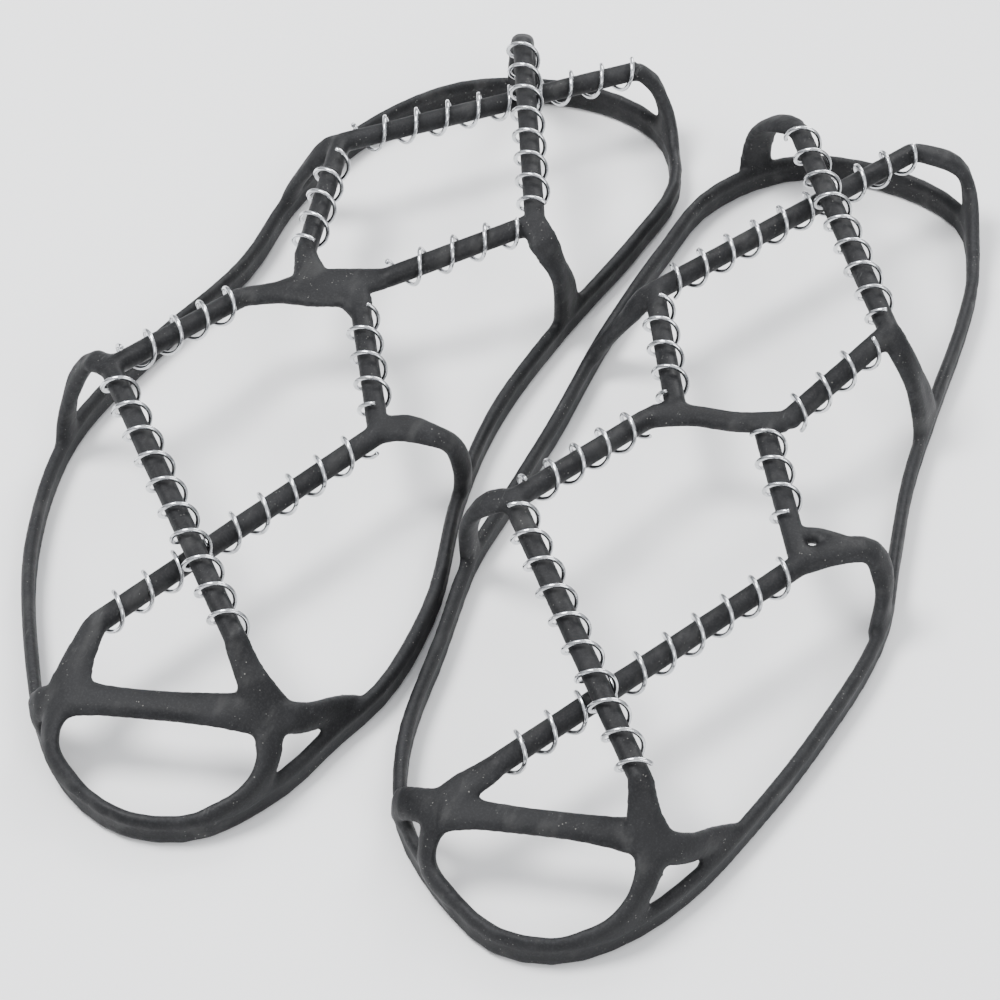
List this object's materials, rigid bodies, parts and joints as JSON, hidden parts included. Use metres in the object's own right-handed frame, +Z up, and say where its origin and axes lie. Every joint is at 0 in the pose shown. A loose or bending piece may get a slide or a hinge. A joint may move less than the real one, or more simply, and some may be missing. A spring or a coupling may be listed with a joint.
{
  "type": "shoe ice cleats",
  "caption": "Pair of slip-on shoe ice cleats: moulded rubber webs with a rim, crossing cords and a bridge, and loose steel wire coils threaded on the cords.",
  "frame": {"origin": "middle of the pair's footprint, on the surface it rests on", "axes": "+Z up out of the tread side, +Y from the toes to the heels, +X from the left cleat to the right cleat"},
  "size_m": [0.2338, 0.311, 0.039],
  "materials": {
    "web_rubber": "matte black moulded rubber with dusty, lighter edges",
    "coil_steel": "bright zinc-plated drawn steel wire"
  },
  "bodies": {
    "left_cleat": {"left_web": "web_rubber"},
    "right_cleat": {"right_web": "web_rubber"},
    "left_toe_upper_coil": {"left_toe_upper_coil": "coil_steel"},
    "left_toe_lower_coil": {"left_toe_lower_coil": "coil_steel"},
    "left_heel_upper_coil": {"left_heel_upper_coil": "coil_steel"},
    "left_heel_lower_coil": {"left_heel_lower_coil": "coil_steel"},
    "left_front_left_shoulder_coil": {"left_front_left_shoulder_coil": "coil_steel"},
    "left_front_right_shoulder_coil": {"left_front_right_shoulder_coil": "coil_steel"},
    "left_rear_left_shoulder_coil": {"left_rear_left_shoulder_coil": "coil_steel"},
    "left_rear_right_shoulder_coil": {"left_rear_right_shoulder_coil": "coil_steel"},
    "right_toe_upper_coil": {"right_toe_upper_coil": "coil_steel"},
    "right_toe_lower_coil": {"right_toe_lower_coil": "coil_steel"},
    "right_heel_upper_coil": {"right_heel_upper_coil": "coil_steel"},
    "right_heel_lower_coil": {"right_heel_lower_coil": "coil_steel"},
    "right_front_left_shoulder_coil": {"right_front_left_shoulder_coil": "coil_steel"},
    "right_front_right_shoulder_coil": {"right_front_right_shoulder_coil": "coil_steel"},
    "right_rear_left_shoulder_coil": {"right_rear_left_shoulder_coil": "coil_steel"},
    "right_rear_right_shoulder_coil": {"right_rear_right_shoulder_coil": "coil_steel"}
  },
  "joints": [
    {"name": "right_cleat_apart", "type": "slide", "parent": "left_cleat", "child": "right_cleat", "axis": [1, 0, 0], "range_m": [0, 0.1]},
    {"name": "left_toe_upper_coil_turn", "type": "hinge", "parent": "left_cleat", "child": "left_toe_upper_coil", "pos_m": [-0.10119, -0.034, 0.034], "axis": [0.6936, -0.7197, -0.029], "range_deg": [-15, 15]},
    {"name": "left_toe_lower_coil_turn", "type": "hinge", "parent": "left_cleat", "child": "left_toe_lower_coil", "pos_m": [-0.02719, -0.0235, 0.027], "axis": [-0.4185, -0.9078, -0.0256], "range_deg": [-15, 15]},
    {"name": "left_heel_upper_coil_turn", "type": "hinge", "parent": "left_cleat", "child": "left_heel_upper_coil", "pos_m": [-0.01679, 0.0635, 0.034], "axis": [-0.4109, 0.9117, 0], "range_deg": [-15, 15]},
    {"name": "left_heel_lower_coil_turn", "type": "hinge", "parent": "left_cleat", "child": "left_heel_lower_coil", "pos_m": [-0.08469, 0.082, 0.027], "axis": [0.7175, 0.6962, -0.0213], "range_deg": [-15, 15]},
    {"name": "left_front_left_shoulder_coil_turn", "type": "hinge", "parent": "left_cleat", "child": "left_front_left_shoulder_coil", "pos_m": [-0.10119, -0.034, 0.034], "axis": [0.3721, 0.9199, -0.124], "continuous": true},
    {"name": "left_front_right_shoulder_coil_turn", "type": "hinge", "parent": "left_cleat", "child": "left_front_right_shoulder_coil", "pos_m": [-0.02719, -0.0235, 0.027], "axis": [-0.4891, 0.8719, 0.0213], "continuous": true},
    {"name": "left_rear_left_shoulder_coil_turn", "type": "hinge", "parent": "left_cleat", "child": "left_rear_left_shoulder_coil", "pos_m": [-0.08469, 0.082, 0.027], "axis": [0.2116, -0.9772, 0.0201], "continuous": true},
    {"name": "left_rear_right_shoulder_coil_turn", "type": "hinge", "parent": "left_cleat", "child": "left_rear_right_shoulder_coil", "pos_m": [-0.01679, 0.0635, 0.034], "axis": [-0.7162, -0.6852, -0.1326], "continuous": true},
    {"name": "right_toe_upper_coil_turn", "type": "hinge", "parent": "right_cleat", "child": "right_toe_upper_coil", "pos_m": [0.01781, -0.0395, 0.034], "axis": [0.6515, -0.758, -0.031], "range_deg": [-15, 15]},
    {"name": "right_toe_lower_coil_turn", "type": "hinge", "parent": "right_cleat", "child": "right_toe_lower_coil", "pos_m": [0.09281, -0.0265, 0.027], "axis": [-0.4735, -0.8804, -0.0264], "range_deg": [-15, 15]},
    {"name": "right_heel_upper_coil_turn", "type": "hinge", "parent": "right_cleat", "child": "right_heel_upper_coil", "pos_m": [0.08921, 0.058, 0.034], "axis": [-0.5761, 0.8173, 0], "range_deg": [-15, 15]},
    {"name": "right_heel_lower_coil_turn", "type": "hinge", "parent": "right_cleat", "child": "right_heel_lower_coil", "pos_m": [0.02181, 0.0565, 0.027], "axis": [0.5039, 0.8638, 0], "range_deg": [-15, 15]},
    {"name": "right_front_left_shoulder_coil_turn", "type": "hinge", "parent": "right_cleat", "child": "right_front_left_shoulder_coil", "pos_m": [0.01781, -0.0395, 0.034], "axis": [0.3889, 0.9139, -0.1167], "continuous": true},
    {"name": "right_front_right_shoulder_coil_turn", "type": "hinge", "parent": "right_cleat", "child": "right_front_right_shoulder_coil", "pos_m": [0.09281, -0.0265, 0.027], "axis": [-0.5051, 0.8628, 0.021], "continuous": true},
    {"name": "right_rear_left_shoulder_coil_turn", "type": "hinge", "parent": "right_cleat", "child": "right_rear_left_shoulder_coil", "pos_m": [0.02181, 0.0565, 0.027], "axis": [0.4558, -0.8898, 0.0217], "continuous": true},
    {"name": "right_rear_right_shoulder_coil_turn", "type": "hinge", "parent": "right_cleat", "child": "right_rear_right_shoulder_coil", "pos_m": [0.08921, 0.058, 0.034], "axis": [-0.3965, -0.9065, -0.145], "continuous": true}
  ]
}
